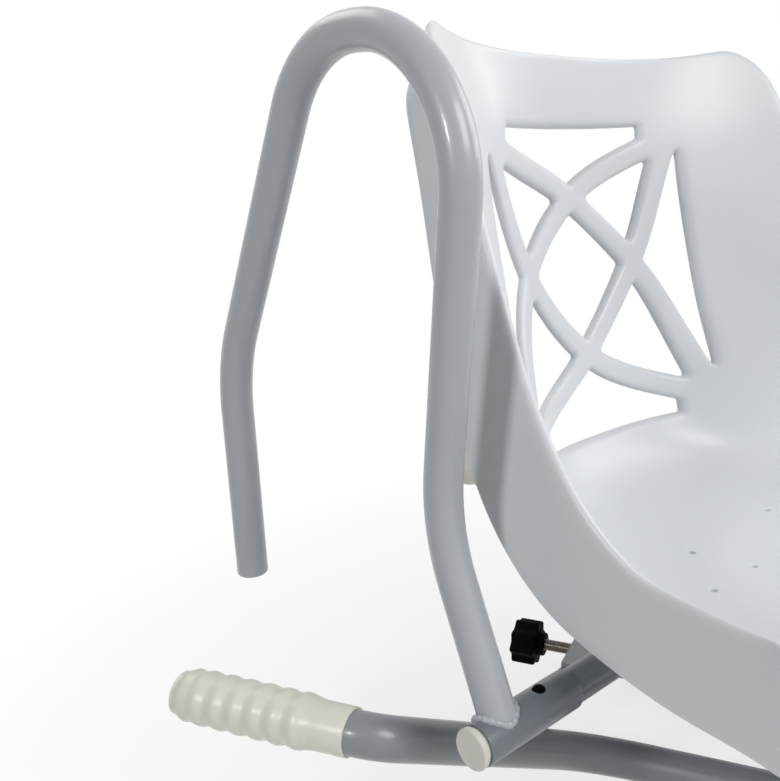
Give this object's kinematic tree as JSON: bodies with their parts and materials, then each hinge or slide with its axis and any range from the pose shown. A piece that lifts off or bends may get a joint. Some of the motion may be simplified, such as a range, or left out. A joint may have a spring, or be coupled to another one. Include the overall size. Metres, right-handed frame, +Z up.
{
  "type": "swivel bath seat",
  "caption": "Bucket seat with a lattice back on a turntable, carried between bath rims by two bent tubes with end grips, with a tube armrest and a lock screw.",
  "frame": {"origin": "on the swivel axis, level with the bath rims on which the grips rest", "axes": "+Z up along the swivel axis; -Y is the way the seat faces at rest; the sitter's right hand is at -X. The base is turned 25 degrees about +Z under the seat."},
  "size_m": [0.7536, 0.8454, 0.5839],
  "materials": {
    "grey_enamel": "smooth light grey powder coat, softly glossy",
    "dark_grey_enamel": "smooth mid grey powder coat, softly glossy",
    "seat_plastic": "moulded white polypropylene, satin to glossy",
    "ivory_vinyl": "soft ivory vinyl, satin",
    "ivory_plastic": "pale beige moulded plastic, satin",
    "black_plastic": "black moulded plastic",
    "zinc_steel": "zinc plated steel",
    "nylon": "natural nylon"
  },
  "bodies": {
    "base": {"base_tube_left": "dark_grey_enamel", "base_tube_right": "dark_grey_enamel", "grip_left_front": "ivory_vinyl", "grip_left_rear": "ivory_vinyl", "grip_right_front": "ivory_vinyl", "grip_right_rear": "ivory_vinyl", "cross_rail_front": "dark_grey_enamel", "cross_rail_rear": "dark_grey_enamel", "base_plate": "dark_grey_enamel", "upper_bearing_ring": "nylon", "lower_bearing_ring": "nylon", "lock_nut": "zinc_steel"},
    "seat": {"turntable_plate": "zinc_steel", "pivot_bush": "zinc_steel", "pivot_bolt": "zinc_steel", "lock_disc": "zinc_steel", "pivot_washer": "zinc_steel", "pivot_nut": "zinc_steel", "cradle_left": "zinc_steel", "cradle_right": "zinc_steel", "carrier_tube": "grey_enamel", "carrier_cap": "ivory_plastic", "seat_shell": "seat_plastic", "seat_screw_left_front": "zinc_steel", "seat_screw_left_rear": "zinc_steel", "seat_screw_right_front": "zinc_steel", "seat_screw_right_rear": "zinc_steel", "snap_clip_left": "zinc_steel", "snap_clip_right": "zinc_steel", "armrest": "grey_enamel", "sleeve_cap": "ivory_plastic"},
    "snap_left": {"snap_button_left": "black_plastic", "snap_leaf_left": "zinc_steel"},
    "snap_right": {"snap_button_right": "black_plastic", "snap_leaf_right": "zinc_steel"},
    "lock_tip": {"lock_pad": "nylon"},
    "lock_screw": {"lock_stud": "zinc_steel", "lock_knob": "black_plastic"}
  },
  "joints": [
    {"name": "seat_swivel", "type": "hinge", "parent": "base", "child": "seat", "pos_m": [0, 0, 0], "axis": [0, 0, 1], "continuous": true},
    {"name": "snap_left_press", "type": "slide", "parent": "seat", "child": "snap_left", "axis": [0, 0, -1], "range_m": [0, 0.004], "stiffness_N_per_m": 900, "springref_m": -0.003},
    {"name": "snap_right_press", "type": "slide", "parent": "seat", "child": "snap_right", "axis": [0, 0, -1], "range_m": [0, 0.004], "stiffness_N_per_m": 900, "springref_m": -0.003},
    {"name": "lock_travel", "type": "slide", "parent": "base", "child": "lock_tip", "axis": [0.4226, -0.9063, 0], "range_m": [0, 0.0115]},
    {"name": "lock_turn", "type": "hinge", "parent": "lock_tip", "child": "lock_screw", "pos_m": [-0.07227, 0.15498, -0.0415], "axis": [0.4226, -0.9063, 0], "range_deg": [0, 2765]}
  ],
  "couplings": [
    {"joint": "lock_turn", "follows": "lock_travel", "rad_per_m": 4188.8}
  ]
}
